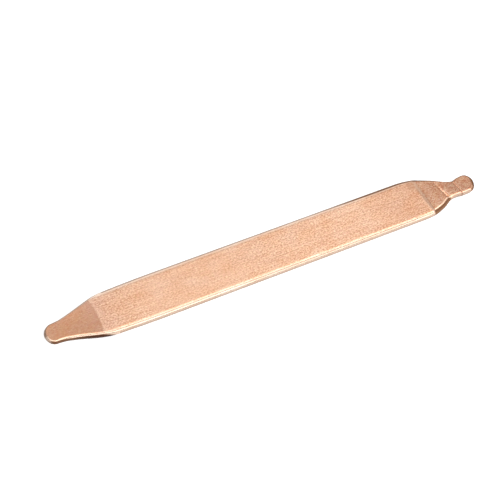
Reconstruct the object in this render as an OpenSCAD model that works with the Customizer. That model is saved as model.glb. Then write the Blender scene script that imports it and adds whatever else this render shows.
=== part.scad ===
// Flat heat pipe: one drawn copper tube with its wick and water sealed inside.
// Both ends are swaged down and closed, the tube is pressed flat, and the thinner ends are
// pressed again: a spade at one end, and at the other the pinched fill nipple.
// The ends are pressed from above, so the underside is flat from tip to tip.
// The pipe lies along X on that underside, with the nipple towards +X.

/* [Pipe] */
// Overall length, tip to tip
pipe_length = 100; // [70:1:300]
// Width of the flattened tube
pipe_width = 9; // [8:0.1:10]
// Thickness of the flattened tube
pipe_thickness = 2; // [1.8:0.1:2.6]

/* [Spade end] */
// Diameter of the round tip
spade_tip_d = 3.8; // [3.2:0.1:4.6]
// How far the tip sits off the middle line
spade_tip_offset = 0.05; // [-0.3:0.05:0.3]
// Thickness of the pressed tip
spade_tip_t = 1.1; // [0.9:0.05:1.4]
// Distance from the tip to the corner where the flank meets the straight side
spade_shoulder = 12.8; // [12:0.1:14]
// Distance from the tip to the crease where the pressed face begins
spade_crease = 10.8; // [9:0.1:11.2]
// How far the crease arches towards the body
spade_crease_bow = 0.4; // [0:0.05:0.6]

/* [Nipple end] */
// Diameter of the round pad at the tip
nipple_d = 3.8; // [3.4:0.1:4.2]
// Thickness of the nipple
nipple_t = 1.05; // [0.9:0.05:1.2]
// Width of the neck behind the pad
neck_width = 3.3; // [2.8:0.1:3.5]
// How far the neck sits off the middle line
neck_offset = -0.55; // [-0.6:0.05:0.6]
// How far the pad sits off the middle line
nipple_offset = -0.38; // [-0.5:0.01:0.5]
// Distance from the tip to the line crimped across the neck
crimp_distance = 4.35; // [4.2:0.05:5]
// Depth of the crimped line
crimp_depth = 0.12; // [0.05:0.01:0.2]
// Distance from the tip to the valley where the nipple leaves the shoulder
valley_distance = 8; // [7.6:0.1:8.4]
// Depth of the valley below the nipple
valley_depth = 0.04; // [0:0.01:0.1]
// Distance from the tip to the crease where the shoulder begins to slope
shoulder_crease = 13.55; // [13.3:0.05:14.5]
// How far that crease is turned, as a shift of its end along the pipe
shoulder_crease_skew = 0.9; // [0:0.1:1.2]

/* [Pressed edges] */
// Depth of the rounded corner along the near edge of a pressed face
near_corner = 0.6; // [0.3:0.05:0.8]
// Depth of the corner along its far edge, which the press closed harder
far_corner = 0.25; // [0.15:0.05:0.5]
// Depth of the corners along the underside
foot_corner = 0.2; // [0.1:0.05:0.3]

/* [Hidden] */
copper = [0.86, 0.6, 0.45];

half_width = pipe_width / 2;
half_neck = neck_width / 2;
spade_r = spade_tip_d / 2;
nipple_r = nipple_d / 2;
round_edge = pipe_thickness / 2;    // depth of the rounded edge of the flattened tube

// Plan of each end: [distance from the tip, half width, offset of the middle line].
// A smooth curve runs through these stations, and a half circle closes the tip before them.
spade_plan = [
    [spade_r, spade_r, spade_tip_offset],
    [spade_r + 1.25, spade_r + 0.07, spade_tip_offset],
    [spade_r + 3.05, spade_r + 0.39, spade_tip_offset],
    [spade_shoulder - 3, half_width - 0.94, 0],
    [spade_shoulder - 0.4, half_width - 0.33, 0],
    [spade_shoulder + 0.8, half_width - 0.2, 0],
    [spade_shoulder + 12, half_width, 0],
];
nipple_plan = [
    [nipple_r, nipple_r, nipple_offset],
    [nipple_r + 1.4, nipple_r - 0.04, nipple_offset - 0.08],
    [nipple_r + 2.9, half_neck, neck_offset],
    [nipple_r + 4.2, half_neck + 0.18, neck_offset * 0.73],
    [nipple_r + 5.5, half_neck + 0.65, neck_offset * 0.64],
    [nipple_r + 6.7, half_neck + 1.22, neck_offset * 0.73],
    [nipple_r + 8.3, half_width - 1.07, neck_offset * 0.73],
    [nipple_r + 10, half_width - 0.6, neck_offset * 0.64],
    [nipple_r + 11.8, half_width - 0.22, neck_offset * 0.33],
    [nipple_r + 15.6, half_width, 0],
];

// Form of each end: [distance, height of the top face, bow, skew, depth of the near corner, of
// the far corner and of the lower corners, cuts up to the next row].
// All change evenly between rows, so each row is a crease across the pipe. The bow arches that
// crease towards the body, and the skew turns it.
spade_form = [
    [0, spade_tip_t - 0.15, 0, 0, 0.3, 0.25, foot_corner, 1],
    [spade_r, spade_tip_t, 0, 0, near_corner, far_corner, foot_corner, 12],
    [spade_crease, pipe_thickness, spade_crease_bow, 0, near_corner, far_corner + 0.15,
        foot_corner + 0.15, 5],
    [spade_shoulder + 0.6, pipe_thickness, spade_crease_bow / 4, 0, round_edge, round_edge,
        round_edge, 6],
    [spade_shoulder + 12, pipe_thickness, 0, 0, round_edge, round_edge, round_edge, 0],
];
shoulder_foot = shoulder_crease - 1.4;    // where the steep start of the shoulder ends
pad_corner = near_corner + 0.2;
nipple_form = [
    [0, nipple_t - 0.1, 0, 0, 0.5, 0.4, foot_corner, 1],
    [nipple_r, nipple_t, 0, 0, pad_corner, far_corner, foot_corner, 4],
    [crimp_distance - 0.15, nipple_t, 0, 0.4, pad_corner, far_corner, foot_corner, 1],
    [crimp_distance, nipple_t - crimp_depth, 0, 0.4, pad_corner, far_corner, foot_corner, 1],
    [crimp_distance + 0.15, nipple_t, 0, 0.4, pad_corner, far_corner, foot_corner, 6],
    [valley_distance - 0.3, nipple_t + 0.07, 0, 0.9, pad_corner, far_corner, foot_corner, 1],
    [valley_distance, nipple_t + 0.07 - valley_depth, 0, 0.9, pad_corner + 0.15,
        far_corner + 0.05, foot_corner, 1],
    [valley_distance + 0.3, nipple_t + 0.1, 0, 0.9, pad_corner + 0.3, far_corner + 0.05,
        foot_corner, 6],
    [shoulder_foot, pipe_thickness - 0.38, 0, 0.3, pad_corner + 0.35, far_corner + 0.25,
        foot_corner + 0.15, 4],
    [shoulder_crease, pipe_thickness, 0, shoulder_crease_skew, round_edge, round_edge - 0.1,
        round_edge - 0.1, 6],
    [nipple_r + 15.6, pipe_thickness, 0, 0, round_edge, round_edge, round_edge, 0],
];

tip_cuts = 9;     // cuts round each tip, 10 degrees apart
edge_steps = 10;  // facets round each edge, half for the lower corner and half for the upper
face_steps = 8;   // facets across the top face

// Straight between the rows of a table
function along(table, column, d) = lookup(d, [for (row = table) [row[0], row[column]]]);

// Smooth between the rows: a cubic in each gap, level at both ends and wherever the rise turns
function rise(table, column, i) =
    (table[i + 1][column] - table[i][column]) / (table[i + 1][0] - table[i][0]);
function tangent(table, column, i) =
    i == 0 || i == len(table) - 1 ? 0 :
    let (before = rise(table, column, i - 1), after = rise(table, column, i))
    before * after <= 0 ? 0 : 2 * before * after / (before + after);
function gap(table, d, i = 0) = i >= len(table) - 2 || d < table[i + 1][0] ? i : gap(table, d, i + 1);
function smooth(table, column, d) =
    let (
        i = gap(table, d),
        run = table[i + 1][0] - table[i][0],
        u = max(0, min(1, (d - table[i][0]) / run))
    )
    (2 * u ^ 3 - 3 * u ^ 2 + 1) * table[i][column]
    + (3 * u ^ 2 - 2 * u ^ 3) * table[i + 1][column]
    + (u ^ 3 - 2 * u ^ 2 + u) * run * tangent(table, column, i)
    + (u ^ 3 - u ^ 2) * run * tangent(table, column, i + 1);

// Outline in plan, side 1 or -1: [point, outward normal]
function edge_point(plan, side, d) = [d, smooth(plan, 2, d) + side * smooth(plan, 1, d)];
function edge_at(plan, side, d) =
    let (run = edge_point(plan, side, d + 0.01) - edge_point(plan, side, d - 0.01))
    [edge_point(plan, side, d), side * [-run[1], run[0]] / norm(run)];
function tip_edge(plan, side, angle) =
    let (r = plan[0][1])
    [[r - r * cos(angle), plan[0][2] + side * r * sin(angle)], [-cos(angle), side * sin(angle)]];

// One edge of a cut, from the underside up to the top face: a lower and an upper corner, which
// make a half round where both are as deep as half the thickness
function edge_round(edge, height, foot, corner) =
    [for (k = [0 : edge_steps])
        let (
            a = -90 + 180 * k / edge_steps,
            low = 2 * k < edge_steps,
            depth = low ? foot : corner,
            reach = depth * height / pipe_thickness,
            p = edge[0] - edge[1] * depth * (1 - cos(a))
        )
        [p[0], p[1], low ? reach * (1 + sin(a)) : height - reach * (1 - sin(a))]];

// The points inside the top face of a cut, from side -1 to side 1
function face_points(from, to, bow) =
    [for (k = [1 : face_steps - 1])
        let (v = k / face_steps, p = from + (to - from) * v)
        [p[0] + 4 * bow * v * (1 - v), p[1], p[2]]];

// What a form gives for the section at a distance: [height, near, far and lower corner]
function section(form, d) = [for (column = [1, 4, 5, 6]) along(form, column, d)];

// A whole cut: one edge, the top face, and the other edge back down
function cut(near, far, shape, bow) =
    let (
        up = edge_round(near, shape[0], shape[3], shape[1]),
        down = edge_round(far, shape[0], shape[3], shape[2])
    )
    concat(up, face_points(up[edge_steps], down[edge_steps], bow),
           [for (k = [edge_steps : -1 : 0]) down[k]]);

function tip_cut(plan, form, angle) =
    cut(tip_edge(plan, -1, angle), tip_edge(plan, 1, angle),
        section(form, plan[0][1] * (1 - cos(angle))), 0);
function body_cut(plan, form, d) =
    let (bow = along(form, 2, d), skew = along(form, 3, d))
    cut(edge_at(plan, -1, d - bow - skew), edge_at(plan, 1, d - bow + skew),
        section(form, d), bow);
function straight_cut(d) =
    cut([[d, -half_width], [0, -1]], [[d, half_width], [0, 1]],
        [pipe_thickness, round_edge, round_edge, round_edge], 0);

// Distances of the cuts from the end of the tip's half circle up to the straight tube
function distances(form) =
    [for (i = [1 : len(form) - 2], k = [0 : form[i][7] - 1])
        form[i][0] + (form[i + 1][0] - form[i][0]) * k / form[i][7]];
function end_length(form) = form[len(form) - 1][0];

// A closed skin over the cuts of one end, with its tip at X = 0
module end_loft(plan, form) {
    cuts = concat(
        [for (i = [1 : tip_cuts - 1]) tip_cut(plan, form, 90 * i / tip_cuts)],
        [for (d = distances(form)) body_cut(plan, form, d)],
        [straight_cut(end_length(form))]);
    nose = edge_round(tip_edge(plan, 1, 0), form[0][1], form[0][6], form[0][4]);
    ring = len(cuts[0]);
    first = len(nose);                    // index of the first cut's first point
    last = first + (len(cuts) - 1) * ring;
    skin = [for (i = [0 : len(cuts) - 2], k = [0 : ring - 1])
        let (a = first + i * ring + k, b = first + i * ring + (k + 1) % ring)
        for (face = [[a, b, a + ring], [b, b + ring, a + ring]]) face];
    near_nose = [for (k = [0 : edge_steps - 1])
        for (face = [[k, k + 1, first + k], [k + 1, first + k + 1, first + k]]) face];
    top_nose = [for (k = [0 : face_steps - 1])
        [edge_steps, first + edge_steps + k + 1, first + edge_steps + k]];
    far_nose = [for (k = [0 : edge_steps - 1])
        let (a = first + ring - 1 - k)
        for (face = [[k, a, k + 1], [k + 1, a, a - 1]]) face];
    under_nose = [[0, first, first + ring - 1]];
    joint = [[for (k = [0 : ring - 1]) last + k]];
    polyhedron(concat(nose, [for (c = cuts) for (p = c) p]),
        concat(skin, near_nose, top_nose, far_nose, under_nose, joint), convexity = 6);
}

// Section of the flattened tube: the outline of a straight cut
module tube_section() {
    polygon([for (p = straight_cut(0)) [p[1], p[2]]]);
}

module heat_pipe() {
    from = -pipe_length / 2 + end_length(spade_form);
    to = pipe_length / 2 - end_length(nipple_form);
    color(copper) union() {
        translate([from, 0, 0]) rotate([90, 0, 90]) linear_extrude(to - from) tube_section();
        translate([-pipe_length / 2, 0, 0]) end_loft(spade_plan, spade_form);
        translate([pipe_length / 2, 0, 0]) mirror([1, 0, 0]) end_loft(nipple_plan, nipple_form);
    }
}

heat_pipe();
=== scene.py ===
import math
from collections import namedtuple

import bmesh
import bpy
from mathutils import Matrix, Vector, noise


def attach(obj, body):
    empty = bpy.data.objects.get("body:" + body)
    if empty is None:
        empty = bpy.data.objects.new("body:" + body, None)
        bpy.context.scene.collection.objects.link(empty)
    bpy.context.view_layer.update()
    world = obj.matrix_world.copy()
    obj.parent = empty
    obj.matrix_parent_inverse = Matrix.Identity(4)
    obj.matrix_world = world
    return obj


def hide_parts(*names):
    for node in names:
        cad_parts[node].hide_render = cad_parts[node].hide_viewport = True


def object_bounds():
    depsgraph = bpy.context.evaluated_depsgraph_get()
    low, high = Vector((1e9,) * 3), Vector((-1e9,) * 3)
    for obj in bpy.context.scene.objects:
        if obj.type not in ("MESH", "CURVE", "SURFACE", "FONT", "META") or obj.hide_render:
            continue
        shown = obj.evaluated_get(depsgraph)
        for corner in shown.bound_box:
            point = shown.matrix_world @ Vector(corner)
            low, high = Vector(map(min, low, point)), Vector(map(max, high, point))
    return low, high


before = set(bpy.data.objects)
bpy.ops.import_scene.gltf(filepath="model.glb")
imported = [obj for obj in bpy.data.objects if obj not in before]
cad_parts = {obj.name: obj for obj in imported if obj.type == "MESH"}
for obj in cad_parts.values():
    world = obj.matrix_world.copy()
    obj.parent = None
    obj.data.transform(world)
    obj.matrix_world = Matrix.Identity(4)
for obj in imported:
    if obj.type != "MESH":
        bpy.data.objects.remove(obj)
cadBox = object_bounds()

mm = 0.001
print("frame loaded:", ", ".join(sorted(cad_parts)))

# Camera

shot = {
    "azimuth": -64.68,       # degrees round the pipe; 0 looks along +Y
    "elevation": 57.71,
    "roll": 40.655,
    "distance": 451.8,       # mm from the point it looks at
    "aim": (-3.08, 2.40, -0.14),
    "lens": 169.03,
    "sensor": 36.0,
}


def setCamera():
    data = bpy.data.cameras.new("camera")
    data.lens, data.sensor_width = shot["lens"], shot["sensor"]
    data.clip_start, data.clip_end = 10 * mm, 10.0
    camera = bpy.data.objects.new("camera", data)
    bpy.context.collection.objects.link(camera)
    turn = (Matrix.Rotation(math.radians(shot["azimuth"]), 4, "Z")
            @ Matrix.Rotation(math.radians(90 - shot["elevation"]), 4, "X")
            @ Matrix.Rotation(math.radians(shot["roll"]), 4, "Z"))
    back = turn.to_3x3() @ Vector((0, 0, shot["distance"]))
    camera.matrix_world = Matrix.Translation((Vector(shot["aim"]) + back) * mm) @ turn
    bpy.context.scene.camera = camera
    bpy.context.scene.view_settings.view_transform = "Standard"


setCamera()
print("camera set")

# The pipe's skin, in mm, with the same plan and form as its solid

pipe = {
    "halfLength": cadBox[1][0] / mm,
    "halfWidth": cadBox[1][1] / mm,
    "thickness": cadBox[1][2] / mm,
    "tipRadius": 1.9,        # of the spade's tip and of the nipple's pad
    "spadeTip": 1.1,         # thickness
    "spadeOffset": 0.05,     # of the tip, off the middle line
    "spadeCrease": 10.8,     # from the tip to where the pressed face begins
    "spadeBow": 0.4,         # how far that crease arches towards the body
    "spadeShoulder": 12.8,   # from the tip to where the flank meets the straight side
    "pad": 1.05,             # thickness
    "padOffset": -0.38,
    "halfNeck": 1.65,
    "neckOffset": -0.55,
    "crimp": (4.2, 4.35, 4.5),    # from the tip to where its groove starts, is deepest and ends
    "crimpDepth": 0.12,
    "valley": 8.0,           # from the tip to where the nipple leaves the shoulder
    "valleyDepth": 0.04,
    "shoulderCrease": 13.55,      # from the tip to where the shoulder begins to slope
    "shoulderSkew": 0.9,     # how far that crease is turned
    "nearCorner": 0.6,       # depths of the rounded corners
    "farCorner": 0.25,
    "footCorner": 0.2,
    "tipCuts": 16,
    "bodyStep": 0.6,
    "longestStep": 0.25,
    "shortestStep": 0.05,
    "stepShare": 0.6,        # of the stretch that softens a crease
    "edgeSteps": 16,         # faces round each rolled edge
    "faceSteps": 46,         # faces across the top
    "underSteps": 6,         # faces across each half of the underside
    "waver": 0.012,          # unevenness left by the press
    "waverScale": (0.16, 0.35, 0.35),    # waves for each mm along, across and up
    "dent": 0.07,            # where the near half of the nipple is nipped in
}

planRow = namedtuple("planRow", "d width offset")
formRow = namedtuple("formRow", "d height bow skew near far foot soft")


# Half width and middle line, by distance from the tip
def spadePlan():
    r, wide, off = pipe["tipRadius"], pipe["halfWidth"], pipe["spadeOffset"]
    shoulder = pipe["spadeShoulder"]
    return [planRow(r, r, off),
            planRow(r + 1.25, r + 0.07, off),
            planRow(r + 3.05, r + 0.39, off),
            planRow(shoulder - 3, wide - 0.94, 0),
            planRow(shoulder - 0.4, wide - 0.33, 0),
            planRow(shoulder + 0.8, wide - 0.2, 0),
            planRow(shoulder + 12, wide, 0)]


def nipplePlan():
    r, wide = pipe["tipRadius"], pipe["halfWidth"]
    neck, off = pipe["halfNeck"], pipe["neckOffset"]
    return [planRow(r, r, pipe["padOffset"]),
            planRow(r + 1.4, r - 0.04, pipe["padOffset"] - 0.08),
            planRow(r + 2.9, neck, off),
            planRow(r + 4.2, neck + 0.18, off * 0.73),
            planRow(r + 5.5, neck + 0.65, off * 0.64),
            planRow(r + 6.7, neck + 1.22, off * 0.73),
            planRow(r + 8.3, wide - 1.07, off * 0.73),
            planRow(r + 10, wide - 0.6, off * 0.64),
            planRow(r + 11.8, wide - 0.22, off * 0.33),
            planRow(r + 15.6, wide, 0)]


# Height of the top face, bow and skew of the crease there, depths of the near and far top
# corners and of the lower corners, and how far the crease is softened
def spadeForm():
    r, thick, tip = pipe["tipRadius"], pipe["thickness"], pipe["spadeTip"]
    near, far, foot = pipe["nearCorner"], pipe["farCorner"], pipe["footCorner"]
    crease, shoulder, bow = pipe["spadeCrease"], pipe["spadeShoulder"], pipe["spadeBow"]
    full = thick / 2
    return [formRow(0, tip - 0.15, 0, 0, near / 2, far, foot, 0.3),
            formRow(r, tip, 0, 0, near, far, foot, 0.3),
            formRow(crease, thick, bow, 0, near, far + 0.15, foot + 0.15, 0.14),
            formRow(shoulder + 0.6, thick, bow / 4, 0, full, full, full, 0.3),
            formRow(shoulder + 12, thick, 0, 0, full, full, full, 0.6)]


def nippleForm():
    r, thick, pad = pipe["tipRadius"], pipe["thickness"], pipe["pad"]
    near, far, foot = pipe["nearCorner"] + 0.2, pipe["farCorner"], pipe["footCorner"]
    start, crimp, end = pipe["crimp"]
    valley, crease, skew = pipe["valley"], pipe["shoulderCrease"], pipe["shoulderSkew"]
    full = thick / 2
    return [formRow(0, pad - 0.1, 0, 0, 0.5, 0.4, foot, 0.2),
            formRow(r, pad, 0, 0, near, far, foot, 0.2),
            formRow(start, pad, 0, 0.4, near, far, foot, 0.06),
            formRow(crimp, pad - pipe["crimpDepth"], 0, 0.4, near, far, foot, 0.06),
            formRow(end, pad, 0, 0.4, near, far, foot, 0.06),
            formRow(valley - 0.3, pad + 0.07, 0, skew, near, far, foot, 0.1),
            formRow(valley, pad + 0.07 - pipe["valleyDepth"], 0, skew, near + 0.15, far + 0.05,
                    foot, 0.1),
            formRow(valley + 0.3, pad + 0.1, 0, skew, near + 0.3, far + 0.05, foot, 0.1),
            formRow(crease - 1.4, thick - 0.38, 0, 0.3, near + 0.35, far + 0.25, foot + 0.15, 0.3),
            formRow(crease, thick, 0, skew, full, full - 0.1, full - 0.1, 0.15),
            formRow(r + 15.6, thick, 0, 0, full, full, full, 0.4)]


# Smooth step from 0 at one value to 1 at another, whichever is the larger
def stage01(absent, full, value):
    t = min(1.0, max(0.0, (value - absent) / (full - absent)))
    return t * t * (3 - 2 * t)


# How near a value is to a middle, from 1 there to nothing away from it
def nearTo(middle, reach, value):
    return math.exp(-((value - middle) / reach) ** 2)


# Straight between the rows of a table
def straightAt(rows, column, d):
    for a, b in zip(rows, rows[1:]):
        if d <= b.d:
            t = min(1.0, max(0.0, (d - a.d) / (b.d - a.d)))
            return getattr(a, column) + (getattr(b, column) - getattr(a, column)) * t
    return getattr(rows[-1], column)


# Smooth between the rows: a cubic in each gap, level at both ends and wherever the rise turns
def smoothAt(rows, column, d):
    values = [getattr(row, column) for row in rows]
    runs = [b.d - a.d for a, b in zip(rows, rows[1:])]
    rises = [(b - a) / run for a, b, run in zip(values, values[1:], runs)]
    slopes = [0.0]
    for before, after in zip(rises, rises[1:]):
        slopes.append(0.0 if before * after <= 0 else 2 * before * after / (before + after))
    slopes.append(0.0)
    i = 0
    while i < len(rows) - 2 and d >= rows[i + 1].d:
        i += 1
    u = min(1.0, max(0.0, (d - rows[i].d) / runs[i]))
    return ((2 * u ** 3 - 3 * u ** 2 + 1) * values[i]
            + (3 * u ** 2 - 2 * u ** 3) * values[i + 1]
            + (u ** 3 - 2 * u ** 2 + u) * runs[i] * slopes[i]
            + (u ** 3 - u ** 2) * runs[i] * slopes[i + 1])


# Height of the top face, averaged over the stretch that softens its crease
def softHeight(form, d):
    soft = straightAt(form, "soft", d)
    return sum(straightAt(form, "height", d + soft * k / 4) for k in range(-4, 5)) / 9


def cornersAt(form, d):
    return [straightAt(form, column, d) for column in ("near", "far", "foot")]


def outline(plan, side, d):
    return Vector((d, smoothAt(plan, "offset", d) + side * smoothAt(plan, "width", d)))


# A point of the outline and the direction outwards from it
def edgeAt(plan, side, d):
    nudge = 0.01
    run = outline(plan, side, d + nudge) - outline(plan, side, d - nudge)
    return outline(plan, side, d), Vector((-run.y, run.x)).normalized() * side


def tipEdge(plan, side, angle):
    r, offset = plan[0].width, plan[0].offset
    return (Vector((r - r * math.cos(angle), offset + side * r * math.sin(angle))),
            Vector((-math.cos(angle), side * math.sin(angle))))


# One closed ring of points: half the underside, the near edge, the top, the far edge, and
# the other half. Each point is x, y, z and its turn round the edge, -90 to 90 degrees.
def ring(near, far, height, bow, corners):
    nearDepth, farDepth, foot = corners

    def rolled(edge, k, depth):
        a = math.pi * (k / pipe["edgeSteps"] - 0.5)
        if 2 * k < pipe["edgeSteps"]:
            depth = foot
            z = depth * height / 2 * (1 + math.sin(a))
        else:
            z = height - depth * height / 2 * (1 - math.sin(a))
        p = edge[0] - edge[1] * depth * (1 - math.cos(a))
        return (p.x, p.y, z, math.degrees(a))

    def between(a, b, t):
        return tuple(p + (q - p) * t for p, q in zip(a, b))

    steps, under, face = pipe["edgeSteps"], pipe["underSteps"], pipe["faceSteps"]
    nearEdge = [rolled(near, k, nearDepth) for k in range(steps + 1)]
    farEdge = [rolled(far, k, farDepth) for k in range(steps, -1, -1)]
    middle = between(nearEdge[0], farEdge[-1], 0.5)
    points = [between(middle, nearEdge[0], k / under) for k in range(under)] + nearEdge
    for k in range(1, face):
        v = k / face
        x, y, z, a = between(nearEdge[-1], farEdge[0], v)
        points.append((x + 4 * bow * v * (1 - v), y, z, a))
    return points + farEdge + [between(farEdge[-1], middle, k / under) for k in range(1, under + 1)]


# The rings of one end, from its tip inwards, each with its distance from the tip
def endRings(plan, form):
    rings = []
    for i in range(pipe["tipCuts"]):
        angle = math.pi / 2 * i / pipe["tipCuts"]
        d = plan[0].width * (1 - math.cos(angle))
        rings.append((d, ring(tipEdge(plan, -1, angle), tipEdge(plan, 1, angle),
                              straightAt(form, "height", d), 0, cornersAt(form, d))))
    for a, b in zip(form[1:], form[2:]):
        step = min(pipe["longestStep"], max(pipe["shortestStep"],
                                             pipe["stepShare"] * min(a.soft, b.soft)))
        count = math.ceil((b.d - a.d) / step)
        for i in range(count):
            d = a.d + (b.d - a.d) * i / count
            bow, skew = straightAt(form, "bow", d), straightAt(form, "skew", d)
            rings.append((d, ring(
                edgeAt(plan, -1, d - bow - skew), edgeAt(plan, 1, d - bow + skew),
                softHeight(form, d), bow, cornersAt(form, d))))
    return rings


# The rings of the straight body, from the end of the spade to the start of the nipple
def bodyRings(start, stop):
    thick = pipe["thickness"]
    count = math.ceil((stop - start) / pipe["bodyStep"])
    rings = []
    for i in range(count + 1):
        d = start + (stop - start) * i / count
        near, far = [(Vector((d, side * pipe["halfWidth"])), Vector((0, side))) for side in (-1, 1)]
        rings.append((d, ring(near, far, thick, 0, [thick / 2] * 3)))
    return rings


# Marks of the press and of handling, with painted highlights and painted shade, which the copper
# finish reads. A pair runs from where a mark is absent to where it is full. Places are in mm past
# what is named above their group.
# A line is a painted highlight, or a painted shade when its strength is below 0: its strength, its
# place, its reach, how far it leans for each mm across, and the pair across the pipe that it fades
# in over.
# A spot is its strength, its place, its reach, its middle across and its reach across.
# A glint is a painted highlight on the near rolled edge: its strength, its pair, and its turn and
# reach.
# Painted shade covers an edge up to a turn, its limit, and each mark may raise or lower that limit.

wholeWidth = (-9.0, -8.0)
marks = {
    "spade": {
        # past the crease
        # pressed face: smoother, and darker partly as painted shade
        "pressed": (-0.05, -0.4),
        "handled": (11.2, 0.2),
        "handledShare": 0.2,
        "rosyFrom": (-5.3, -0.8),
        "rosyTo": (5.2, 0.1),
        "grain": 1.1,
        "grainLostToPress": 0.65,
        "calm": (5.2, 13.2),
        "grainLostToCalm": 0.4,
        "lines": [(0.3, 0.15, 0.25, 0, wholeWidth),
                  (-0.15, -0.35, 0.2, 0, wholeWidth)],
        # painted shade on the rolled edges, which fades out past this pair
        "edgeShaded": (3.2, 2.0),
        "limitFrom": (-0.8, 3.0),
        "limitFall": 44,
        # past the tip
        "edgeShadeSteps": [(0.2, (-2.0, -1.0)), (0.45, (0.2, 0.9)), (0.35, (4.0, 9.0))],
        "tip": (5.0, 1.5),
        "tipLimit": 24,
        "glints": [(1.4, (5.0, 2.0), 74, 8), (1.6, (1.8, 0.9), 66, 12)],
    },
    "nipple": {
        # past the crease of the shoulder
        "lightlyPressed": (-1.15, 0.15),
        "pressedLost": 0.5,
        "calm": (-1.15, 2.45),
        "shoulderTo": (-0.15, -1.15),
        "limitTo": (0.45, -0.15),
        "shoulderLimit": 43,
        "endLimit": 50,
        "padLimit": 32,
        "lines": [(0.75, -0.05, 0.2, 0, (1.0, -2.0)),
                  (0.62, -0.7, 0.35, 0, wholeWidth),
                  (0.2, -0.45, 0.35, 0, (-0.5, 2.5)),
                  (0.3, -2.25, 0.9, 0, (-0.5, 2.5)),
                  (0.2, -2.75, 0.7, 0, (2.5, -0.5)),
                  (-0.3, -1.75, 0.45, 0, (2.5, -0.5))],
        "spots": [(0.6, -0.7, 0.45, -3.2, 1.2),
                  (-0.8, 0.65, 0.9, 2.7, 1.0)],
        # past the valley
        "shoulderFrom": (-0.6, 0.2),
        "valleyLines": [(0.85, -0.5, 0.15, 0.15, (0.6, -0.4)),
                        (-0.3, -0.2, 0.25, 0, (-0.5, 2.5))],
        # past the tip
        # painted shade on the nipple, fading out towards its valley
        "pinched": (8.0, 5.0),
        "endWall": (1.65, 1.15),
        # painted shade at the very tip of the nipple
        "tipShaded": (0.55, 0.1),
        "tipShade": 0.55,
        "crimpShade": (-1.8, 0.14),       # strength and reach
        "grain": 1.7,
        "grainLostToCalm": 0.5,
        "glint": (1.6, 79, 6),            # strength, turn and reach
        "shoulderEdgeShade": (0.5, 0.35, 64, 14),    # painted shade: even, in a band, turn and reach of the band
        # painted shade on the edges of the pad and of its end
        "padEdgeShade": 0.28,
        "endEdgeShade": 0.32,
    },
    "body": {
        # past the spade's tip
        "grain": 0.7,
        "grainMore": 0.5,
        "busy": (38, 50),
        "paintedDarkLine": (-0.75, 57, 5),           # strength, turn and reach of a thin line of painted shade on the near edge, between its highlights
        "farShadeMore": (60, 78),                 # along the far edge, where its painted shade grows
        # before the nipple's tip
        "pressed": (34, 12),
        "pressedShare": 0.6,
    },
    "edge": {
        "wall": (88, 60),                 # turns from the face to the side wall
        "limit": 30.0,                    # turn up to which an edge has painted shade
        "limitSoftness": 8,
        "least": 0.15,                    # an edge with less painted shade gets one of the next two
        "near": (0.24, 28.0),             # painted shade and limit
        "far": (0.4, 50.0),
        "farShadeExtra": (0.25, 14.0),          # more of both along the far edge towards the nipple
        "farGain": (0.2, 1.2, 28.0),      # on the far side: more, times as much, higher limit
        "farMost": {"spade": 0.42, "nipple": 1.0, "body": 1.0},
    },
}


def linesAt(lines, past, across):
    return sum(strength * nearTo(place + lean * across, reach, past) * stage01(*span, across)
               for strength, place, reach, lean, span in lines)


def spadeMarksAt(d, across, turn):
    m = marks["spade"]
    past = d - pipe["spadeCrease"]
    pressed = stage01(*m["pressed"], past)
    crease = linesAt(m["lines"], past, across)
    # Painted highlights on the near rolled edge
    if across < 0 and turn < 89:
        crease += sum(strength * stage01(*along, d) * nearTo(middle, reach, turn)
                      for strength, along, middle, reach in m["glints"])
    return {
        "pressed": pressed + m["handledShare"] * stage01(*m["handled"], past) * (1 - pressed),
        "rosy": stage01(*m["rosyFrom"], past) * stage01(*m["rosyTo"], past),
        "grainy": (m["grain"] - m["grainLostToPress"] * pressed
                   - m["grainLostToCalm"] * stage01(*m["calm"], past)),
        "crease": crease,
        "edgeShade": stage01(*m["edgeShaded"], past) * sum(
            share * stage01(*along, d) for share, along in m["edgeShadeSteps"]),
        "limit": (marks["edge"]["limit"] + m["tipLimit"] * stage01(*m["tip"], d)
                  - m["limitFall"] * stage01(*m["limitFrom"], past)),
    }


def nippleMarksAt(d, across, turn):
    m = marks["nipple"]
    past, pastValley = d - pipe["shoulderCrease"], d - pipe["valley"]
    onPad = 1 - stage01(*m["shoulderFrom"], pastValley)
    shoulder = (1 - onPad) * stage01(*m["shoulderTo"], past)
    endWall = stage01(*m["endWall"], d)
    shade, reach = m["crimpShade"]
    # Painted highlights and painted shade along the shoulder, the valley and the crimp
    crease = (linesAt(m["lines"], past, across) + linesAt(m["valleyLines"], pastValley, across)
              + shade * nearTo(pipe["crimp"][1], reach, d))
    crease += sum(strength * nearTo(place, along, past) * nearTo(middle, wide, across)
                  for strength, place, along, middle, wide in m["spots"])
    # A painted highlight on the near rolled edge of the shoulder
    if across < 0 and turn < 89:
        strength, middle, reach = m["glint"]
        crease += strength * shoulder * nearTo(middle, reach, turn)
    even, banded, band, reach = m["shoulderEdgeShade"]
    limit = (marks["edge"]["limit"] + m["shoulderLimit"] * shoulder + m["endLimit"] * endWall
             + m["padLimit"] * (1 - shoulder) * (1 - endWall))
    return {
        "pressed": 1 - m["pressedLost"] * stage01(*m["lightlyPressed"], past),
        "pinched": stage01(*m["pinched"], d),
        "grainy": m["grain"] - m["grainLostToCalm"] * stage01(*m["calm"], past),
        "crease": crease,
        "edgeShade": ((even + banded * nearTo(band, reach, turn)) * shoulder
                    + (m["padEdgeShade"] + m["endEdgeShade"] * endWall) * onPad),
        "limit": limit * stage01(*m["limitTo"], past),
        "tipShade": m["tipShade"] * stage01(*m["tipShaded"], d),
        "farShadeMore": 1.0,
    }


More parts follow.
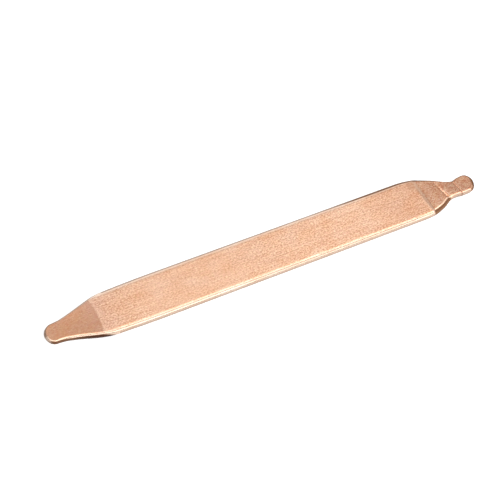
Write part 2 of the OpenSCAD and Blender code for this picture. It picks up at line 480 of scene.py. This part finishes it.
def bodyMarksAt(d, across, turn):
    m = marks["body"]
    busy = stage01(*m["busy"], d)
    shade, middle, reach = m["paintedDarkLine"]
    return {
        "pressed": m["pressedShare"] * stage01(*m["pressed"], 2 * pipe["halfLength"] - d),
        "grainy": m["grain"] + m["grainMore"] * busy,
        # painted shade in a thin line along the near edge
        "crease": shade * busy * nearTo(middle, reach, turn) if across <= 0 else 0.0,
        "farShadeMore": stage01(*m["farShadeMore"], d),
    }


markNames = ("pressed", "pinched", "rosy", "crease", "wall", "edgeShade", "grainy")
marksOf = {"spade": spadeMarksAt, "nipple": nippleMarksAt, "body": bodyMarksAt}


# The marks at a point of a ring
def marksAt(end, d, across, turn):
    m = marks["edge"]
    wall = stage01(*m["wall"], turn) if turn > -80 else 0.0
    found = dict.fromkeys(markNames + ("limit", "tipShade", "farShadeMore"), 0.0)
    found.update(marksOf[end](d, across, turn))
    # Painted shade on the lower part of each rolled edge, below its limit turn, with more on the
    # far side, and the painted shade at the nipple's tip added to it
    edgeShade, limit = found["edgeShade"], found["limit"]
    if edgeShade < m["least"]:
        edgeShade, limit = m["near"]
        if across > 0:
            edgeShade, limit = [even + more * found["farShadeMore"]
                              for even, more in zip(m["far"], m["farShadeExtra"])]
    elif across > 0:
        more, times, higher = m["farGain"]
        edgeShade, limit = min(m["farMost"][end], more + times * edgeShade), limit + higher
    soft = m["limitSoftness"]
    found["wall"] = wall
    found["edgeShade"] = found["tipShade"] + edgeShade * wall * stage01(limit + soft, limit - soft, turn)
    for name in ("pressed", "pinched", "rosy"):
        found[name] *= 1 - wall
    return found


# How far the press left a point inside the even form, in mm
def sinkAt(end, d, x, y, z, turn):
    place = Vector([a * scale for a, scale in zip((x, y, z), pipe["waverScale"])])
    rough = 0.5 + 0.5 * noise.noise(place) + 0.25 * noise.noise(place * 2.7)
    sink = pipe["waver"] * min(1.0, max(0.0, rough)) * stage01(80, 90, abs(turn))
    if end == "nipple" and turn > 80:
        sink += pipe["dent"] * stage01(1.0, -1.2, y) * nearTo(pipe["valley"], 0.2, d)
    return sink


# A sheet of faces whose rows are laid on the rings, and whose sides are then merged
def buildSkin():
    spade, nipple = endRings(spadePlan(), spadeForm()), endRings(nipplePlan(), nippleForm())
    half = pipe["halfLength"]
    body = bodyRings(spadeForm()[-1].d, 2 * half - nippleForm()[-1].d)
    rings = [(end, d, [(x - half, y, z, a) for x, y, z, a in points])
             for end, part in (("spade", spade), ("body", body)) for d, points in part]
    rings += [("nipple", d, [(half - x, y, z, a) for x, y, z, a in points])
              for d, points in reversed(nipple)]

    bm = bmesh.new()
    along, around = len(rings) - 1, len(rings[0][2]) - 1
    bmesh.ops.create_grid(bm, x_segments=along, y_segments=around, size=1.0)
    layers = {name: bm.verts.layers.float.new(name) for name in markNames}
    for v in bm.verts:
        end, d, points = rings[round((v.co.x + 1) / 2 * along)]
        x, y, z, turn = points[round((v.co.y + 1) / 2 * around)]
        found = marksAt(end, d, y, turn)
        for name in markNames:
            v[layers[name]] = found[name]
        sink = sinkAt(end, d, x, y, z, turn)
        v.co = Vector((x, y, z - sink if turn > 0 else z + sink)) * mm
    bmesh.ops.remove_doubles(bm, verts=bm.verts, dist=0.0005 * mm)
    bmesh.ops.recalc_face_normals(bm, faces=bm.faces)
    for f in bm.faces:
        f.smooth = True
    mesh = bpy.data.meshes.new("copperPipe")
    bm.to_mesh(mesh)
    bm.free()
    skin = bpy.data.objects.new("copperPipe", mesh)
    bpy.context.collection.objects.link(skin)
    return skin


copperPipe = buildSkin()
print("skin built:", len(copperPipe.data.polygons), "faces")

# Copper finish

copper = {
    "face": (0.85, 0.52, 0.345, 1),
    "edgeSheen": (0.98, 0.785, 0.635, 1),        # the rolled edges, paler as a painted highlight
    "bright": (0.98, 0.69, 0.51, 1),        # lines of light along creases
    "shade": (0.48, 0.25, 0.16, 1),         # and their dark sides
    "dull": (0.74, 0.43, 0.275, 1),         # clouds
    # pressed copper, darker partly as painted shade
    "pressed": (0.70, 0.365, 0.22, 1),
    # painted shade on the nipple, fading out towards its valley
    "pinched": (0.55, 0.292, 0.185, 1),
    "rosy": (0.70, 0.42, 0.33, 1),
    "brown": (0.28, 0.14, 0.075, 1),        # light painted shade on the rolled edges
    "edgeShade": (0.085, 0.021, 0.003, 1),    # and heavy
    "edgeSheenShare": 0.85,
    "rosyShare": 0.35,
    "dullShare": 0.3,
    "lineShare": 0.7,
    "brownGain": 2.0,
    "heavyEdgeShade": (0.5, 1.0),
    "grainSize": (0.42, 0.20, 0.20),        # mm, along, across and up
    "streakSize": (5.0, 0.16, 0.16),
    "blushSize": (0.8, 0.5, 0.5),
    "cloudSize": (4.0, 2.6, 2.6),
    "noiseSpan": (0.3, 0.7),                # from darkest to lightest
    "grainSpan": (0.34, 0.66),
    "blushSpan": (0.35, 0.65),
    "streakShare": 0.4,
    "grainDepth": 0.24,                     # how far the grain changes lightness
    "grainHue": 0.01,
    "grainSaturation": 0.15,
    "grainLostOnWall": 0.9,
    "blushHue": (0.495, 0.503),
    "cloudSaturation": (0.94, 1.06),
    "faceRoughness": 0.40,
    "wallRoughness": 0.24,
    "pressedRoughness": 0.30,
    "grainRoughness": 0.05,
    "grainHeight": 0.004,                   # mm
    "grainRelief": 0.5,
    "edgeShadeGloss": 0.02,
}


# A node tree and short ways of adding to it
class Wiring:
    def __init__(self, owner):
        owner.use_nodes = True
        self.tree = owner.node_tree
        self.tree.nodes.clear()

    def feed(self, socket, value):
        if isinstance(value, bpy.types.NodeSocket):
            self.tree.links.new(value, socket)
        else:
            socket.default_value = value

    def node(self, kind, inputs=None, **settings):
        made = self.tree.nodes.new(kind)
        for key, value in settings.items():
            setattr(made, key, value)
        for key, value in (inputs or {}).items():
            self.feed(made.inputs[key], value)
        return made

    def maths(self, operation, a, b=0.0, clamp=False):
        return self.node("ShaderNodeMath", {0: a, 1: b}, operation=operation,
                         use_clamp=clamp).outputs[0]

    def spread(self, value, low, high, newLow=0.0, newHigh=1.0):
        return self.node("ShaderNodeMapRange", {"Value": value, "From Min": low, "From Max": high,
                                                "To Min": newLow, "To Max": newHigh}).outputs[0]

    # Sockets 6 and 7 are the two colours of a mix
    def blend(self, factor, a, b):
        return self.node("ShaderNodeMix", {0: factor, 6: a, 7: b}, data_type="RGBA").outputs[2]

    def mark(self, name):
        return self.node("ShaderNodeAttribute", attribute_name=name).outputs["Fac"]

    def speckle(self, size, detail, place):
        scaled = self.node("ShaderNodeMapping", {"Vector": place,
                                                 "Scale": tuple(1 / (s * mm) for s in size)})
        return self.node("ShaderNodeTexNoise", {"Vector": scaled.outputs[0], "Scale": 1.0,
                                                "Detail": detail, "Roughness": 0.6}).outputs["Fac"]


def copperFinish():
    c = copper
    material = bpy.data.materials.new("satinCopper")
    w = Wiring(material)
    place = w.node("ShaderNodeTexCoord").outputs["Object"]
    grain = w.speckle(c["grainSize"], 2.0, place)
    streak = w.speckle(c["streakSize"], 1.0, place)
    blush = w.speckle(c["blushSize"], 1.0, place)
    cloud = w.speckle(c["cloudSize"], 2.0, place)
    pressed, crease = w.mark("pressed"), w.mark("crease")
    wall, edgeShade = w.mark("wall"), w.mark("edgeShade")

    # Tints of the press: pressed copper darker partly as painted shade, painted shade on the
    # nipple, and rolled edges paler as a painted highlight
    tone = w.blend(w.maths("MULTIPLY", wall, c["edgeSheenShare"]), c["face"], c["edgeSheen"])
    tone = w.blend(pressed, tone, c["pressed"])
    tone = w.blend(w.mark("pinched"), tone, c["pinched"])
    tone = w.blend(w.maths("MULTIPLY", w.mark("rosy"), c["rosyShare"]), tone, c["rosy"])
    tone = w.blend(w.spread(cloud, *c["noiseSpan"], 0.0, c["dullShare"]), tone, c["dull"])

    # Grain
    offWall = w.maths("SUBTRACT", 1.0, w.maths("MULTIPLY", wall, c["grainLostOnWall"]))
    strength = w.maths("MULTIPLY", w.mark("grainy"), offWall)
    streaked = w.maths("ADD", w.spread(grain, *c["grainSpan"], -1.0, 1.0),
                       w.spread(streak, *c["noiseSpan"], -c["streakShare"], c["streakShare"]))
    grainy = w.maths("MULTIPLY", streaked, strength)
    hue = w.maths("ADD", w.spread(blush, *c["blushSpan"], *c["blushHue"]),
                  w.spread(grainy, -1.0, 1.0, -c["grainHue"], c["grainHue"]))
    saturation = w.maths(
        "SUBTRACT", w.spread(cloud, *c["noiseSpan"], *c["cloudSaturation"]),
        w.spread(grainy, -1.0, 1.0, -c["grainSaturation"], c["grainSaturation"]))
    value = w.spread(grainy, -1.0, 1.0, 1 - c["grainDepth"], 1 + c["grainDepth"])
    tone = w.node("ShaderNodeHueSaturation", {"Hue": hue, "Saturation": saturation,
                                              "Value": value, "Color": tone}).outputs[0]

    # Lines of painted highlight and painted shade along the creases and edges, and the painted
    # shade of the edges
    for sign, colour in ((1.0, c["bright"]), (-1.0, c["shade"])):
        line = w.maths("MAXIMUM", w.maths("MULTIPLY", crease, sign), 0.0)
        tone = w.blend(w.maths("MULTIPLY", line, c["lineShare"], clamp=True), tone, colour)
    # Painted shade on the lower and far edges and at the nipple's tip: brown, then dark, and less
    # metallic
    shadeAmount = w.maths("MULTIPLY", edgeShade, c["brownGain"], clamp=True)
    tone = w.blend(shadeAmount, tone, c["brown"])
    tone = w.blend(w.spread(edgeShade, *c["heavyEdgeShade"]), tone, c["edgeShade"])

    rough, uneven = c["faceRoughness"], c["grainRoughness"]
    roughness = w.spread(grain, *c["noiseSpan"], rough + uneven, rough - uneven)
    smoother = w.maths("MULTIPLY", wall, c["wallRoughness"] - rough)
    roughness = w.maths("ADD", roughness, smoother)
    smoother = w.maths("MULTIPLY", pressed, c["pressedRoughness"] - rough)
    roughness = w.maths("ADD", roughness, smoother, clamp=True)
    relief = w.node("ShaderNodeBump", {
        "Height": grain, "Strength": w.maths("MULTIPLY", strength, c["grainRelief"]),
        "Distance": c["grainHeight"] * mm})

    shader = w.node("ShaderNodeBsdfPrincipled", {
        "Base Color": tone, "Metallic": w.maths("SUBTRACT", 1.0, shadeAmount), "Roughness": roughness,
        "Specular IOR Level": w.spread(shadeAmount, 0.0, 1.0, 0.5, c["edgeShadeGloss"]),
        "Normal": relief.outputs["Normal"]})
    w.node("ShaderNodeOutputMaterial", {"Surface": shader.outputs[0]})
    return material


copperPipe.data.materials.append(copperFinish())
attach(copperPipe, "root")
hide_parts("heat_pipe")
print("copper finish set")

# Floor, light and surroundings

studio = {
    "floorHalf": 3.0,                    # m
    "floorDrop": 0.05,                   # mm below the pipe
    "floorColour": (0.80, 0.80, 0.80, 1),
    "floorLift": 0.6,                    # light of its own, as the eye sees it
    "floorLiftInMetal": 0.15,
    "surround": 0.66,
    # name: direction from the pipe, distance, width and height in m, glow
    "lamps": {
        "overFace": ((0.46, 0.40, 0.79), 0.6, 0.60, 0.54, 0.15),
        "frontHigh": ((0.30, -0.18, 0.93), 0.6, 1.00, 0.31, 1.25),
        "frontLow": ((0.30, -0.83, 0.48), 0.6, 1.00, 0.20, 1.4),
        "rightLow": ((0.90, -0.16, 0.40), 0.6, 0.26, 0.26, 2.6),
        "farSide": ((0.47, 0.79, 0.39), 0.6, 0.60, 0.40, 0.40),
        "crossValley": ((-0.29, -0.13, 0.93), 0.6, 0.12, 0.12, 1.0),
    },
}


# Pale and seen from above only
def floorFinish():
    material = bpy.data.materials.new("paleFloor")
    w = Wiring(material)
    seen = w.node("ShaderNodeLightPath")
    mirrored = w.maths("MAXIMUM", seen.outputs["Is Glossy Ray"],
                       seen.outputs["Is Transmission Ray"])
    lifted = w.maths("ADD",
                     w.maths("MULTIPLY", seen.outputs["Is Camera Ray"], studio["floorLift"]),
                     w.maths("MULTIPLY", mirrored, studio["floorLiftInMetal"]))
    matt = w.node("ShaderNodeBsdfDiffuse", {"Color": studio["floorColour"]})
    lift = w.node("ShaderNodeEmission", {"Strength": lifted})
    both = w.node("ShaderNodeAddShader", {0: matt.outputs[0], 1: lift.outputs[0]})
    under = w.node("ShaderNodeNewGeometry").outputs["Backfacing"]
    clear = w.node("ShaderNodeBsdfTransparent")
    oneSided = w.node("ShaderNodeMixShader", {0: under, 1: both.outputs[0], 2: clear.outputs[0]})
    w.node("ShaderNodeOutputMaterial", {"Surface": oneSided.outputs[0]})
    return material


def setFloor():
    bm = bmesh.new()
    bmesh.ops.create_grid(bm, x_segments=1, y_segments=1, size=studio["floorHalf"])
    bmesh.ops.translate(bm, verts=bm.verts, vec=(0, 0, -studio["floorDrop"] * mm))
    mesh = bpy.data.meshes.new("floor")
    bm.to_mesh(mesh)
    bm.free()
    mesh.materials.append(floorFinish())
    floor = bpy.data.objects.new("floor", mesh)
    bpy.context.collection.objects.link(floor)


def setLamps():
    for name, (towards, distance, width, height, glow) in studio["lamps"].items():
        data = bpy.data.lights.new(name, "AREA")
        data.shape, data.size, data.size_y = "RECTANGLE", width, height
        data.energy = 4 * glow * width * height    # W, so that size doesn't change the glow
        lamp = bpy.data.objects.new(name, data)
        bpy.context.collection.objects.link(lamp)
        away = Vector(towards).normalized()
        lampX = (Vector((1, 0, 0)) - away * away.x).normalized()
        turn = Matrix((lampX, away.cross(lampX), away)).transposed().to_4x4()
        lamp.matrix_world = Matrix.Translation(away * distance) @ turn
        lamp.visible_camera = False


# White where the camera sees it, and dimmer as light
def setSurround():
    world = bpy.data.worlds.new("surround")
    bpy.context.scene.world = world
    w = Wiring(world)
    seen = w.node("ShaderNodeLightPath").outputs["Is Camera Ray"]
    level = w.spread(seen, 0.0, 1.0, studio["surround"], 1.0)
    background = w.node("ShaderNodeBackground", {"Strength": level})
    w.node("ShaderNodeOutputWorld", {"Surface": background.outputs[0]})


setFloor()
setLamps()
setSurround()
print("floor, lamps and surroundings set")
